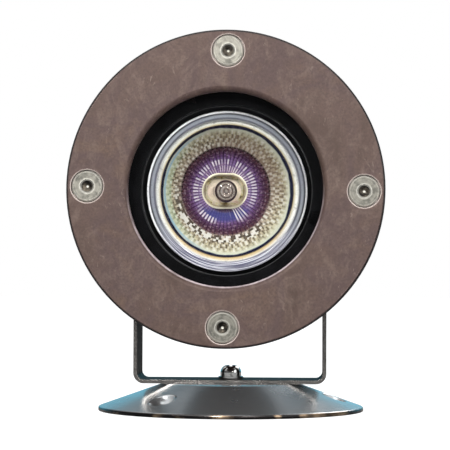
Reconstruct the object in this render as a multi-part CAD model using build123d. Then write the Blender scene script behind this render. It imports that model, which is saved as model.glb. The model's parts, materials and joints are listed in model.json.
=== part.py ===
from build123d import *
import os
from math import atan, cos, radians, sin, tan

# Underwater pond light, in millimetres: a brass lamp head that tilts in a stainless yoke, on a
# dished stainless base that the yoke swivels on.
#
# Row frame: the origin is on the mounting plane, on the base's axis; +Z is up and the light
# leaves the head towards -Y.
# Head frame: every head part is drawn round its own Z axis, with z = 0 on the front face of the
# face ring and z growing towards the back. in_head() puts it in place; up is then local -Y.

# ---------------------------------------------------------------- driving dimensions

LAMP_D = 50.7              # standard 2 inch reflector lamp
HEAD_D = 98.0              # face ring and housing flange
MOUTH_D = 60.0             # opening in the face ring
SCREW_CIRCLE_D = 85.0      # face screws
PIVOT_HEIGHT = 70.5        # tilt axis above the mounting plane
FRONT_REACH = 44.0         # front face to tilt axis
BASE_D = 87.0
BASE_HEIGHT = 9.0
BASE_TOP_D = 43.6          # flat top of the dish
SHEET = 0.9                # base sheet thickness
YOKE_WIDTH = 62.7          # over the arms
YOKE_STRIP = 19.0          # width of the strip
YOKE_THICKNESS = 1.25
MOUNT_CIRCLE_D = 70.0      # mounting holes of the base
MOUNT_HOLE_D = 4.4

RUNNING = 0.02             # gap between flat faces that turn on each other
THREAD_GAP = 0.03          # radial gap of a screw in its thread

# Depths in the head, from the front face backwards
LIP = 2.5                  # face ring over the glass
FRONT_GASKET = 1.0
GLASS = 5.0
REAR_GASKET = 2.0
RING = 6.0                 # whole face ring
FLANGE = 7.0               # housing flange
LAMP_FRONT = 16.0
CAN_END = 78.0             # outside of the housing's back wall
BACK_WALL = 4.0

HEAD_R = HEAD_D / 2
MOUTH_R = MOUTH_D / 2
LAMP_R = LAMP_D / 2
SEAT_R = 36.0              # recess for the glass and gaskets
GLASS_R = SEAT_R - 0.5
CAN_BORE_R = 26.5
CAN_R = 28.6
GLASS_START = LIP + FRONT_GASKET
GLASS_END = GLASS_START + GLASS
SEAT_DEPTH = GLASS_END + REAR_GASKET
FLANGE_END = RING + FLANGE

# Face screws, M5 with a low head
M5_R = 2.5
FACE_HEAD_R = 4.75
FACE_HEAD = 2.3
FACE_POCKET_R = 5.05
FACE_POCKET = 2.3
FACE_SHANK = 10.2
FACE_SCREW_CLOCK = 1.0     # degrees the four screws stand clockwise of upright, from in front
FACE_SCREW_TURNS = {90: 28, 0: 3, 180: 12, 270: -10}   # place round the ring: turn of its hexagon

# Tilt pivot
BOSS_R = 7.5
BOSS_FACE = 29.3
BOSS_BACK = 19.0
ARM_INSIDE = YOKE_WIDTH / 2 - YOKE_THICKNESS
ARM_OUTSIDE = YOKE_WIDTH / 2
PIVOT_HOLE_R = M5_R + 0.08
PIVOT_WASHER = 1.2
PIVOT_SHANK = 10.0

# Base dish
LIP_HEIGHT = 1.3           # upright edge of the dish
LIP_WIDTH = 1.2
TOP_R = BASE_TOP_D / 2
BASE_R = BASE_D / 2
SLOPE = atan((BASE_HEIGHT - LIP_HEIGHT) / (BASE_R - TOP_R))
DIMPLE_BALL_R = 5.6        # the dimples are pressed with a ball, to this depth in the slope
DIMPLE_DEPTH = 2.2
DIMPLE_ROUNDING = 0.7      # of the sheet where it turns down into a dimple
FIRST_DIMPLE = -7.0        # degrees from +X

# Base screw, M4
M4_R = 2.0
BASE_HOLE_R = M4_R + 0.08
YOKE_FLOOR = BASE_HEIGHT + RUNNING
FLAT_WASHER = 0.8
LOCK_WASHER = 1.0
BASE_WASHER_START = YOKE_FLOOR + YOKE_THICKNESS + RUNNING
BASE_HEAD_START = BASE_WASHER_START + FLAT_WASHER + LOCK_WASHER
BASE_NUT = 3.2

# Lamp. It and its holder lean in the can, about the middle of the lamp's rim.
LAMP_LEAN_UP = 3.5         # degrees its back end points up
LAMP_LEAN_LEFT = 5.2       # degrees its back end points towards -X
LAMP_GLASS_R = 22.4        # front glass, let into the rim
LAMP_GLASS = 1.5
BOWL_FOCAL = 5.2           # focal length of the reflector's parabola
BOWL_MOUTH_R = 20.8
BOWL_START = LAMP_FRONT + LAMP_GLASS + 0.1
BOWL_WALL = 1.6
NECK = (14.3, 10.8)        # oval opening at the bottom of the bowl
COLLAR = (18.4, 14.6)
COLLAR_END = 44.0
LAMP_BACK = 54.0
PIN_R = 0.8
PIN_X = 2.665              # half of the 5.33 mm pin spacing
PIN_START = 48.0
PIN_END = 61.0
SUPPORT_X = 2.1            # wires that carry the filament and pass through the pinch
SUPPORT_R = 0.2

# Lampholder and wiring
HOLDER = (18.0, 14.0)
HOLDER_END = 66.0
STRAP = (12.0, 37.0, 1.0)
POST_Y = 15.0
POST_R = 3.0
POST_END = 76.5
M3_R = 1.5
LEAD_R = 0.9
LEAD_X = 3.2
LEAD_DEPTH = 70.0
LEAD_BEND = 2.4
CRIMP_X = (8.0, 17.0)
CRIMP_R = 1.8

# Cable gland, M16
GLAND_R = 8.0
GLAND_BOSS_R = 12.5
GLAND_BOSS_END = CAN_END + 2.0
GLAND_WASHER = 1.0
GLAND_HEX = 20.0
GLAND_HEX_START = GLAND_BOSS_END + GLAND_WASHER
GLAND_HEX_END = GLAND_HEX_START + 4.0
GLAND_THREAD_END = GLAND_HEX_END + 7.0
GLAND_END = GLAND_THREAD_END + 4.0
CABLE_R = 3.6              # bore of the rubber seal
GLAND_MOUTH_R = 4.6
SEAL_R = 6.3

# ---------------------------------------------------------------- helpers


def turned(*outline):
    """A solid of revolution about Z from (radius, height) points."""
    return turned_edges(Polyline(*outline, close=True))


def turned_edges(outline):
    """A solid of revolution about Z from a closed outline drawn on the XZ plane."""
    return revolve(Plane.XZ * make_face(outline), Axis.Z)


def rod(radius, start, end):
    """A cylinder on the Z axis from height start to height end."""
    return Pos(0, 0, start) * Cylinder(radius, end - start, align=(Align.CENTER, Align.CENTER, Align.MIN))


def tube(outer, inner, start, end):
    """A ring on the Z axis."""
    return rod(outer, start, end) - rod(inner, start, end)


def taper(radius_start, radius_end, start, end):
    """A cone on the Z axis."""
    return Pos(0, 0, start) * Cone(
        radius_start, radius_end, end - start, align=(Align.CENTER, Align.CENTER, Align.MIN)
    )


def prism(sketch, start, end):
    """A sketch on the XY plane, raised from height start to height end."""
    return extrude(Pos(0, 0, start) * sketch, end - start)


def hexagon(across_flats):
    return RegularPolygon(across_flats / 2, 6, major_radius=False)


def circles(shape, radius, height):
    """The circular edges of one radius at one height of a turned solid."""
    return shape.edges().filter_by(
        lambda e: e.geom_type == GeomType.CIRCLE
        and abs(e.radius - radius) < 0.01
        and abs(e.arc_center.Z - height) < 0.01
        and abs(e.arc_center.X) < 0.01
        and abs(e.arc_center.Y) < 0.01
    )


def in_head(shape):
    """Moves a part from the head frame to the row frame."""
    return Pos(0, -FRONT_REACH, PIVOT_HEIGHT) * Rot(-90, 0, 0) * shape


def leaned(shape):
    """Leans a part of the lamp or of its holder, in the head frame."""
    turn = Rot(LAMP_LEAN_UP, -LAMP_LEAN_LEFT, 0)
    return Pos(0, 0, LAMP_FRONT) * turn * Pos(0, 0, -LAMP_FRONT) * shape


def to_side(shape, side):
    """Turns a part drawn along +Z so that +Z points along +X or -X, on the tilt axis."""
    return Pos(0, 0, PIVOT_HEIGHT) * Rot(0, 90 * side, 0) * shape


def on_circle(diameter, angle):
    return Pos(diameter / 2 * cos(radians(angle)), diameter / 2 * sin(radians(angle)), 0)


def at_face_screw(angle):
    return on_circle(SCREW_CIRCLE_D, angle + FACE_SCREW_CLOCK)


def round_head(radius, height):
    """A domed screw head on the XY plane with a cross recess in its top."""
    head = fillet(circles(rod(radius, 0, height), radius, height), height * 0.9)
    cross = Box(radius * 1.5, 0.9, height) + Box(0.9, radius * 1.5, height)
    recess = Pos(0, 0, height * 1.02) * cross
    return head - recess - taper(0, radius * 0.3, height * 0.35, height)


def round_head_screw(head_r, head, shank_r, shank):
    """Head upwards from the XY plane, shank downwards."""
    return round_head(head_r, head) + chamfered_shank(shank_r, shank)


def chamfered_shank(radius, length):
    """A screw's shank below the XY plane, with a chamfered tip."""
    return chamfer(circles(rod(radius, -length, 0), radius, -length), radius * 0.25)


def lock_washer(outer, inner, thickness):
    """A split spring washer: a ring cut through by a slanting slot."""
    slot = Pos((outer + inner) / 2, 0, thickness / 2) * Rot(30, 0, 0) * Box(outer, 0.5, thickness * 3)
    return tube(outer, inner, 0, thickness) - slot


def hex_nut(across_flats, hole_r, height):
    """A nut on the XY plane with its corners turned off at both ends."""
    corner_r = across_flats / 2 / cos(radians(30))
    corner = corner_r - across_flats / 2
    envelope = turned(
        (0, 0),
        (across_flats / 2, 0),
        (corner_r, corner * 0.6),
        (corner_r, height - corner * 0.6),
        (across_flats / 2, height),
        (0, height),
    )
    return (prism(hexagon(across_flats), 0, height) & envelope) - rod(hole_r, 0, height)


# ---------------------------------------------------------------- front of the head


def face_ring():
    """The cover: rounded mouth, recess for the glass, four screw pockets."""
    ring = turned(
        (MOUTH_R, 0), (HEAD_R, 0), (HEAD_R, RING), (SEAT_R, RING), (SEAT_R, LIP), (MOUTH_R, LIP)
    )
    ring = fillet(circles(ring, HEAD_R, 0), 0.8)
    ring = fillet(circles(ring, MOUTH_R, 0), 1.7)
    ring = chamfer(circles(ring, HEAD_R, RING), 0.3)
    pocket = rod(FACE_POCKET_R, 0, FACE_POCKET) + taper(FACE_POCKET_R + 0.25, FACE_POCKET_R, 0, 0.25)
    pocket += rod(M5_R + 0.25, 0, RING)
    for angle in FACE_SCREW_TURNS:
        ring -= at_face_screw(angle) * pocket
    return ring


def face_screw():
    """Low cylindrical head with a hexagon socket; the head's top is at z = 0."""
    head = chamfer(circles(rod(FACE_HEAD_R, 0, FACE_HEAD), FACE_HEAD_R, 0), 0.45)
    socket_depth = 1.5
    socket = prism(hexagon(3.1), 0, socket_depth)
    socket += taper(2.2, 1.4, 0, 0.8)
    socket += taper(1.3, 0, socket_depth, socket_depth + 0.5)
    shank = Pos(0, 0, FACE_HEAD) * Rot(180, 0, 0) * chamfered_shank(M5_R, FACE_SHANK)
    return head + shank - socket


def face_screws():
    return Compound(
        [
            at_face_screw(angle) * Rot(0, 0, turn) * face_screw()
            for angle, turn in FACE_SCREW_TURNS.items()
        ]
    )


def front_gasket():
    return tube(GLASS_R, MOUTH_R + 0.8, LIP, GLASS_START)


def lens():
    """Flat toughened glass with ground edges."""
    glass = rod(GLASS_R, GLASS_START, GLASS_END)
    edges = circles(glass, GLASS_R, GLASS_START) + circles(glass, GLASS_R, GLASS_END)
    return chamfer(edges, 0.4)


def rear_gasket():
    return tube(GLASS_R, CAN_BORE_R + 0.3, GLASS_END, SEAT_DEPTH)


# ---------------------------------------------------------------- housing


def housing():
    """Cast can with a flange in front, pivot bosses at its sides and the gland boss behind."""
    can = turned(
        (SEAT_R, RING),
        (HEAD_R, RING),
        (HEAD_R, FLANGE_END),
        (CAN_R, FLANGE_END),
        (CAN_R, CAN_END),
        (GLAND_BOSS_R, CAN_END),
        (GLAND_BOSS_R, GLAND_BOSS_END),
        (GLAND_R + THREAD_GAP, GLAND_BOSS_END),
        (GLAND_R + THREAD_GAP, CAN_END - BACK_WALL),
        (CAN_BORE_R, CAN_END - BACK_WALL),
        (CAN_BORE_R, SEAT_DEPTH),
        (SEAT_R, SEAT_DEPTH),
    )
    can = fillet(circles(can, CAN_R, FLANGE_END), 3.5)
    can = fillet(circles(can, HEAD_R, FLANGE_END), 1.8)
    can = fillet(circles(can, CAN_R, CAN_END), 4.5)
    can = fillet(circles(can, CAN_BORE_R, CAN_END - BACK_WALL), 3.0)
    can = fillet(circles(can, GLAND_BOSS_R, CAN_END), 1.0)
    can = chamfer(circles(can, GLAND_BOSS_R, GLAND_BOSS_END), 0.5)
    for side in (-1, 1):
        turn = Pos(0, 0, FRONT_REACH) * Rot(0, 90 * side, 0)
        can += turn * rod(BOSS_R, BOSS_BACK, BOSS_FACE)
        can -= turn * rod(M5_R + THREAD_GAP, BOSS_BACK + 2, BOSS_FACE)
        post = Pos(0, POST_Y * side, 0)
        can += leaned(post * rod(POST_R, HOLDER_END + STRAP[2], POST_END))
        can -= leaned(post * rod(M3_R + THREAD_GAP, HOLDER_END, CAN_END - BACK_WALL))
    for angle in FACE_SCREW_TURNS:
        can -= at_face_screw(angle) * rod(M5_R + THREAD_GAP, RING, FLANGE_END)
    return can


# ---------------------------------------------------------------- lamp


def bowl(mouth_r, neck_r, mouth_depth):
    """The solid inside of a parabolic bowl that opens at mouth_depth and narrows backwards."""

    def height(radius):
        return (mouth_r**2 - radius**2) / (4 * BOWL_FOCAL)

    # One quadratic Bezier is exactly a parabola when its middle point is where the end tangents meet.
    corner = ((mouth_r + neck_r) / 2, mouth_depth + (mouth_r**2 - mouth_r * neck_r) / (4 * BOWL_FOCAL))
    mouth = (mouth_r, mouth_depth)
    neck = (neck_r, mouth_depth + height(neck_r))
    outline = (
        Bezier(mouth, corner, neck)
        + Line(neck, (0, neck[1]))
        + Line((0, neck[1]), (0, mouth_depth))
        + Line((0, mouth_depth), mouth)
    )
    return turned_edges(outline)


def reflector():
    """Glass bowl with a rounded rim in front, a seat for its glass and an oval collar behind."""
    rim_end = LAMP_FRONT + 4.4
    body = rod(LAMP_R, LAMP_FRONT, rim_end)
    body = fillet(circles(body, LAMP_R, rim_end), 1.2)
    body = fillet(circles(body, LAMP_R, LAMP_FRONT), 0.8)
    body += bowl(BOWL_MOUTH_R + BOWL_WALL, NECK[0] / 2 + BOWL_WALL, BOWL_START + 1.6)
    body -= rod(LAMP_GLASS_R + 0.1, LAMP_FRONT, BOWL_START)
    inside = bowl(BOWL_MOUTH_R, NECK[0] / 2, BOWL_START)
    body += prism(SlotOverall(*COLLAR), 34.0, COLLAR_END)
    return body - inside - prism(SlotOverall(*NECK), 30.0, COLLAR_END)


def lamp_front_glass():
    glass = rod(LAMP_GLASS_R, LAMP_FRONT + 0.1, BOWL_START)
    return fillet(circles(glass, LAMP_GLASS_R, LAMP_FRONT + 0.1), 0.4)


def lamp_base():
    """Ceramic foot of the lamp: a stub in the collar, a pocket for the capsule's pinch."""
    stub = prism(SlotOverall(NECK[0] - 0.1, NECK[1] - 0.1), 40.5, COLLAR_END)
    foot = prism(SlotOverall(*COLLAR), COLLAR_END, LAMP_BACK)
    foot = fillet(foot.faces().sort_by(Axis.Z)[-1].edges(), 0.8)
    foot = stub + foot - prism(Rectangle(7.2, 2.6), 40.5, PIN_START)
    for side in (-1, 1):
        foot -= Pos(PIN_X * side, 0, 0) * rod(PIN_R, PIN_START, LAMP_BACK)
    return foot


def lamp_pins():
    pin = chamfer(circles(rod(PIN_R, PIN_START, PIN_END), PIN_R, PIN_END), 0.3)
    return Compound([Pos(x, 0, 0) * pin for x in (-PIN_X, PIN_X)])


def capsule():
    """Quartz bulb: a tube with a domed front and its tip, and a flat pinch behind."""
    radius, front, back, wall = 3.6, 25.0, 39.5, 0.7
    bulb = fillet(circles(rod(radius, front, back), radius, front), 2.6)
    bulb += taper(0.3, 0.8, front - 0.9, front + 0.1)
    bulb += prism(Rectangle(7.0, 2.4), back - 0.5, PIN_START - 1)
    hollow = rod(radius - wall, front + wall, back - 1.5)
    bulb -= fillet(circles(hollow, radius - wall, front + wall), 2.0)
    for side in (-1, 1):
        bulb -= Pos(SUPPORT_X * side, 0, 0) * rod(SUPPORT_R, back - 2, PIN_START)
    return bulb


def filament():
    """The coil's envelope on the bulb's axis, and a support from each of its ends to a pin."""
    front, back = 29.0, 33.5
    shape = rod(0.9, front, back)
    for side, depth in ((-1, front + 0.3), (1, back - 0.3)):
        shape += Pos(SUPPORT_X * side, 0, 0) * rod(SUPPORT_R, depth - SUPPORT_R, PIN_START)
        shape += Pos(0, 0, depth) * Rot(0, 90 * side, 0) * rod(SUPPORT_R, 0, SUPPORT_X)
    return shape


# ---------------------------------------------------------------- lampholder and wiring


def lampholder():
    block = prism(RectangleRounded(*HOLDER, 3.0), LAMP_BACK, HOLDER_END)
    for x in (-PIN_X, PIN_X):
        block -= Pos(x, 0, 0) * rod(PIN_R + 0.6, LAMP_BACK, PIN_END + 1.5)
    return block


def holder_contacts():
    """Brass sleeves that grip the lamp's pins."""
    sleeve = tube(PIN_R + 0.55, PIN_R + 0.03, LAMP_BACK + 0.5, PIN_END + 1.5)
    return Compound([Pos(x, 0, 0) * sleeve for x in (-PIN_X, PIN_X)])


def holder_strap():
    """Steel strap behind the lampholder, screwed to two posts on the back wall."""
    strap = prism(RectangleRounded(STRAP[0], STRAP[1], 3.0), HOLDER_END, HOLDER_END + STRAP[2])
    for side in (-1, 1):
        strap -= Pos(0, POST_Y * side, 0) * rod(M3_R + 0.15, HOLDER_END, HOLDER_END + STRAP[2])
        strap -= Pos(LEAD_X * side, 0, 0) * rod(LEAD_R + 0.4, HOLDER_END, HOLDER_END + STRAP[2])
    return strap


def strap_screws():
    screw = Pos(0, 0, HOLDER_END) * Rot(180, 0, 0) * round_head_screw(2.6, 1.8, M3_R, 6.5)
    return Compound([Pos(0, POST_Y * side, 0) * screw for side in (-1, 1)])


def leads():
    """Two insulated leads, each from the lampholder's back into its crimp."""
    wires = []
    for side in (-1, 1):
        route = FilletPolyline(
            (LEAD_X * side, 0, HOLDER_END),
            (LEAD_X * side, 0, LEAD_DEPTH),
            (CRIMP_X[0] * side, 0, LEAD_DEPTH),
            radius=LEAD_BEND,
        )
        wires.append(sweep(Plane(route @ 0, z_dir=route % 0) * Circle(LEAD_R), path=route))
    return Compound([wire.solid() for wire in wires])


def crimps():
    sleeve = Rot(0, 90, 0) * rod(CRIMP_R, *CRIMP_X)
    sleeves = [Rot(0, 0, turn) * Pos(0, 0, LEAD_DEPTH) * sleeve for turn in (0, 180)]
    return Compound([fillet(s.edges().filter_by(GeomType.CIRCLE), 0.5).solid() for s in sleeves])


# ---------------------------------------------------------------- cable gland


def gland_body():
    body = rod(GLAND_R, CAN_END - BACK_WALL, GLAND_THREAD_END)
    body += Pos(0, 0, GLAND_HEX_START) * hex_nut(GLAND_HEX, GLAND_R - 1, GLAND_HEX_END - GLAND_HEX_START)
    body -= rod(GLAND_MOUTH_R, CAN_END - BACK_WALL, GLAND_THREAD_END)
    return body - rod(SEAL_R + 0.05, GLAND_HEX_END, GLAND_THREAD_END)


def gland_washer():
    return tube(GLAND_R + 2.6, GLAND_R + 0.05, GLAND_BOSS_END, GLAND_HEX_START)


def gland_seal():
    return tube(SEAL_R, CABLE_R, GLAND_HEX_END, GLAND_THREAD_END)


def gland_nut():
    """Domed nut with a hexagon at its root; it presses the seal from behind."""
    start = GLAND_HEX_END + 0.4
    root_end = start + 5.0
    shoulder_r = GLAND_HEX / 2 - 0.4
    nut = Pos(0, 0, start) * hex_nut(GLAND_HEX, GLAND_R, root_end - start)
    dome = turned(
        (GLAND_R, root_end - 1),
        (shoulder_r, root_end - 1),
        (shoulder_r, GLAND_THREAD_END),
        (GLAND_MOUTH_R + 2, GLAND_END),
        (GLAND_MOUTH_R, GLAND_END),
        (GLAND_MOUTH_R, GLAND_THREAD_END),
        (GLAND_R, GLAND_THREAD_END),
    )
    dome = fillet(circles(dome, shoulder_r, GLAND_THREAD_END), 2.0)
    return nut + dome - rod(GLAND_R + THREAD_GAP, start, GLAND_THREAD_END)


# ---------------------------------------------------------------- pivot


def pivot_screws():
    head_face = ARM_OUTSIDE + RUNNING + PIVOT_WASHER
    screw = Pos(0, 0, head_face) * round_head_screw(4.7, 3.4, M5_R, PIVOT_SHANK)
    return Compound([to_side(screw, side) for side in (-1, 1)])


def pivot_washers():
    washer = Pos(0, 0, ARM_OUTSIDE + RUNNING) * lock_washer(4.6, M5_R + 0.1, PIVOT_WASHER)
    return Compound([to_side(washer, side) for side in (-1, 1)])


def pivot_spacers():
    """Nylon discs between the housing's bosses and the yoke's arms."""
    spacer = tube(BOSS_R - 0.3, M5_R + 0.1, BOSS_FACE, ARM_INSIDE - RUNNING)
    return Compound([to_side(spacer, side) for side in (-1, 1)])


# ---------------------------------------------------------------- yoke


def yoke():
    """One bent strip: flat foot, two upright arms with round ends."""
    inside_bend = 2.2
    height = PIVOT_HEIGHT + YOKE_STRIP / 2 - YOKE_FLOOR
    to_floor = (Align.CENTER, Align.CENTER, Align.MIN)

    def bent_block(width, strip, bend):
        block = Box(width, strip, height, align=to_floor)
        bottom = block.edges().filter_by(Axis.Y).group_by(Axis.Z)[0]
        return fillet(bottom, bend)

    outside = bent_block(YOKE_WIDTH, YOKE_STRIP, inside_bend + YOKE_THICKNESS)
    inside = Pos(0, 0, YOKE_THICKNESS) * bent_block(ARM_INSIDE * 2, YOKE_STRIP + 2, inside_bend)
    strip = Pos(0, 0, YOKE_FLOOR) * (outside - inside)
    arm = Pos(0, PIVOT_HEIGHT / 2) * Rectangle(YOKE_STRIP, PIVOT_HEIGHT)
    side_view = Plane.YZ * (arm + Pos(0, PIVOT_HEIGHT) * Circle(YOKE_STRIP / 2))
    strip &= extrude(side_view, YOKE_WIDTH, both=True)
    for side in (-1, 1):
        strip -= to_side(rod(PIVOT_HOLE_R, 0, YOKE_WIDTH), side)
    return strip - rod(BASE_HOLE_R, 0, BASE_HEIGHT + 5)


# ---------------------------------------------------------------- base



def dimple_mouths(sheet):
    """The edges where the dimples meet the dish's upper face."""
    rings = [edge for edge in sheet.edges() if edge.geom_type != GeomType.CIRCLE]
    return [edge for edge in rings if 2 < edge.center(CenterOf.BOUNDING_BOX).Z < 7 and edge.length > 20]


def base_plate():
    """Spun dish with a turned-down lip and three dimples that carry the mounting screws."""
    drop = SHEET / cos(SLOPE)
    lip_inside_r = BASE_R - LIP_WIDTH
    top = [(BASE_HOLE_R, BASE_HEIGHT), (TOP_R, BASE_HEIGHT), (BASE_R, LIP_HEIGHT), (BASE_R, 0)]
    under = [
        (lip_inside_r, 0),
        (lip_inside_r, LIP_HEIGHT + LIP_WIDTH * tan(SLOPE) - drop),
        (TOP_R - SHEET * tan(SLOPE / 2), BASE_HEIGHT - SHEET),
        (BASE_HOLE_R, BASE_HEIGHT - SHEET),
    ]
    sheet = turned(*top, *under)
    sheet = fillet(circles(sheet, TOP_R, BASE_HEIGHT), 3.0)
    sheet = fillet(circles(sheet, BASE_R, LIP_HEIGHT), 0.7)
    sheet = fillet(circles(sheet, BASE_R, 0), 0.3)
    sheet = Rot(0, 0, FIRST_DIMPLE + 60) * sheet
    filled = turned((0, 0), (BASE_R - 0.5, 0), (BASE_R - 0.5, LIP_HEIGHT), (TOP_R, BASE_HEIGHT - 0.3), (0, 8))
    hole_r = MOUNT_HOLE_D / 2
    wall = SHEET * 0.9
    slope_height = LIP_HEIGHT + (BASE_R - MOUNT_CIRCLE_D / 2) * tan(SLOPE)
    ball_height = slope_height + (DIMPLE_BALL_R - DIMPLE_DEPTH) / cos(SLOPE)
    middle = Pos(0, 0, ball_height)
    cup = rod(hole_r + wall, 0, slope_height) + middle * Sphere(DIMPLE_BALL_R + wall)
    sink = rod(hole_r, 0, slope_height) + middle * Sphere(DIMPLE_BALL_R)
    for turn in (0, 120, 240):
        place = on_circle(MOUNT_CIRCLE_D, FIRST_DIMPLE + turn)
        sheet = sheet + (place * cup & filled) - place * sink
    return fillet(dimple_mouths(sheet), DIMPLE_ROUNDING)


def base_screw():
    shank = BASE_HEAD_START - 3.3
    return Pos(0, 0, BASE_HEAD_START) * Rot(0, 0, 3) * round_head_screw(3.45, 2.7, M4_R, shank)


def base_flat_washer():
    return tube(4.1, M4_R + 0.1, BASE_WASHER_START, BASE_WASHER_START + FLAT_WASHER)


def base_lock_washer():
    washer = lock_washer(3.45, M4_R + 0.1, LOCK_WASHER)
    return Pos(0, 0, BASE_WASHER_START + FLAT_WASHER) * Rot(0, 0, -86) * washer


def under_washer():
    top = BASE_HEIGHT - SHEET
    return tube(4.6, M4_R + 0.1, top - FLAT_WASHER, top)


def base_nut():
    nut_top = BASE_HEIGHT - SHEET - FLAT_WASHER
    return Pos(0, 0, nut_top - BASE_NUT) * hex_nut(7.0, M4_R + THREAD_GAP, BASE_NUT)


# ---------------------------------------------------------------- assembly

HEAD_PARTS = {
    "face_ring": face_ring,
    "face_screws": face_screws,
    "front_gasket": front_gasket,
    "lens": lens,
    "rear_gasket": rear_gasket,
    "housing": housing,
    "gland_body": gland_body,
    "gland_washer": gland_washer,
    "gland_seal": gland_seal,
    "gland_nut": gland_nut,
}
LEANED_PARTS = {
    "lamp_reflector": reflector,
    "lamp_front_glass": lamp_front_glass,
    "lamp_capsule": capsule,
    "lamp_filament": filament,
    "lamp_base": lamp_base,
    "lamp_pins": lamp_pins,
    "lampholder": lampholder,
    "lampholder_contacts": holder_contacts,
    "lampholder_strap": holder_strap,
    "strap_screws": strap_screws,
    "leads": leads,
    "crimp_splices": crimps,
}
ROW_PARTS = {
    "pivot_screws": pivot_screws,
    "pivot_lock_washers": pivot_washers,
    "pivot_spacers": pivot_spacers,
    "yoke": yoke,
    "base_plate": base_plate,
    "base_screw": base_screw,
    "base_lock_washer": base_lock_washer,
    "base_flat_washer": base_flat_washer,
    "base_under_washer": under_washer,
    "base_nut": base_nut,
}


def main():
    os.makedirs("parts", exist_ok=True)
    for name, make in HEAD_PARTS.items():
        export_step(in_head(make()), f"parts/{name}.step")
    for name, make in LEANED_PARTS.items():
        export_step(in_head(leaned(make())), f"parts/{name}.step")
    for name, make in ROW_PARTS.items():
        export_step(make(), f"parts/{name}.step")


main()
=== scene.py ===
import json
import math

import bpy
from mathutils import Matrix, Vector


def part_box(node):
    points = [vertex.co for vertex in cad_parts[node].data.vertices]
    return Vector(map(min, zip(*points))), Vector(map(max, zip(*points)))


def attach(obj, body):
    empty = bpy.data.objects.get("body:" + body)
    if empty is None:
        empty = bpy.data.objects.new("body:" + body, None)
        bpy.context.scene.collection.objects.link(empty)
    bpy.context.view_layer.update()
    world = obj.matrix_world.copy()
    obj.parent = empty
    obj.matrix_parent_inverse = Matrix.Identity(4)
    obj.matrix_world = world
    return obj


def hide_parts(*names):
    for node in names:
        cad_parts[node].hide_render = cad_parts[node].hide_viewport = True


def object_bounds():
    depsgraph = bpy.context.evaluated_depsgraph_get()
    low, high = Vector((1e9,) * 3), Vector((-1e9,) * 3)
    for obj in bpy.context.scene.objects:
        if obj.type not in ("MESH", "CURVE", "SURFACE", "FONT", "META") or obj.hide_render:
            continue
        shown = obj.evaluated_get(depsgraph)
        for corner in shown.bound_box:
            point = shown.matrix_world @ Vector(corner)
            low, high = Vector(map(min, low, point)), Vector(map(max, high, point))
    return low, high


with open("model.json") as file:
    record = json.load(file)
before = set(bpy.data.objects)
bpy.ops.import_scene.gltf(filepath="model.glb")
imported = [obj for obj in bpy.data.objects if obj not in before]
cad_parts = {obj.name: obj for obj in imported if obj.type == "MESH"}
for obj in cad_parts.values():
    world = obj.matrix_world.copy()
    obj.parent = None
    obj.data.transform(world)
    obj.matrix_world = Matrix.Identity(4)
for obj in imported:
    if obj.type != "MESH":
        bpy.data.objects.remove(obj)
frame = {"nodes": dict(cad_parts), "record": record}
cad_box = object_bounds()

# Looks of the underwater pond light. Lengths are in metres in Blender; MM turns the lamp's own
# millimetre dimensions into metres.
#
# The reflector lamp leans in the housing, so its pieces are built in the lamp's own frame: its
# origin is in the middle of the lamp's front plane, z points backwards along the lamp's axis, x
# to the right and y down.

MM = 0.001

# Camera, 0.59 m in front of the swivel axis and 30 mm lower than the tilt axis
CAMERA_PLACE = (26.4 * MM, -589.3 * MM, 40.5 * MM)
CAMERA_TURN = 2.77            # degrees it is turned to the left
CAMERA_PITCH = 1.98           # degrees it looks up
CAMERA_ROLL = 0.21            # degrees
CAMERA_LENS = 142.9           # focal length in millimetres
FLOOR_SIZE = 12.0
FLOOR_GLOW = 0.90             # strength of the light that the floor shows to the camera

# Head and yoke
SCREW_CIRCLE_R = 42.5 * MM
SCREW_CLOCK = 1.0             # degrees the face screws stand clockwise of upright, from in front
POCKET_EDGE_R = 5.3 * MM      # of the countersinks of the face screws
RING_MOUTH_R = 30.0 * MM
BLACK_INSIDE_R = 27.4 * MM    # the housing is black inside this radius
BLACK_INSIDE_END = 31.0 * MM  # and as far back as this
STRIP_HALF = 9.5 * MM         # half the width of the yoke's strip

# Lamp, in millimetres in its own frame. A depth is measured from the lamp's front plane.
GLASS_MIDDLE = 0.85        # depth of the middle of the front glass
RIM_R = 25.35
RIM_BACK = 4.4
RIM_ROUNDING = 0.35        # of the rim's front edges
RIM_BACK_ROUNDING = 1.2
GROOVE_R = 24.45           # of the fine groove in the rim's front
GROOVE_DEPTH = 0.18
SEAT_R = 22.5              # recess for the front glass
SEAT_DEPTH = 1.6
MOUTH_R = 20.8             # of the bowl
PARABOLA = 20.8            # four times the focal length
NECK = (14.3, 10.8)        # width and height of the slot-shaped opening of the bowl
COLLAR = (18.4, 14.6)
COLLAR_END = 28.0
STUB_FACE = 24.5           # depth of the ceramic at the bottom of the neck
QUARTZ_RIPPLE = 1.15       # distance between the rings in the capsule's melted tip

# Layers of the bowl, as depths behind its inside
COATED_BACK = 1.0          # back of the coated shell
BODY_INSIDE = 1.25         # glass body, behind the coated shell
BODY_OUTSIDE = 3.2
BODY_WAIST = 3.6           # where the glass body turns into the collar

# Relief of the bowl
ZONE_R = 14.5              # cushion facets outside this radius, flutes inside it
FACETS = 60                # facets, or flutes, in a turn
FACET_ROWS = 5
CUSHION_RELIEF = 0.24
FLUTE_RELIEF = (0.05, 0.35)  # at ZONE_R and at the neck

# Mesh columns and rows
FACET_STEPS = 8            # columns in one facet
ROW_STEPS = 6              # rows in one row of facets
FLUTE_STEPS = 22
BODY_STEPS = 14
LIP_STEPS = 8

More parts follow.
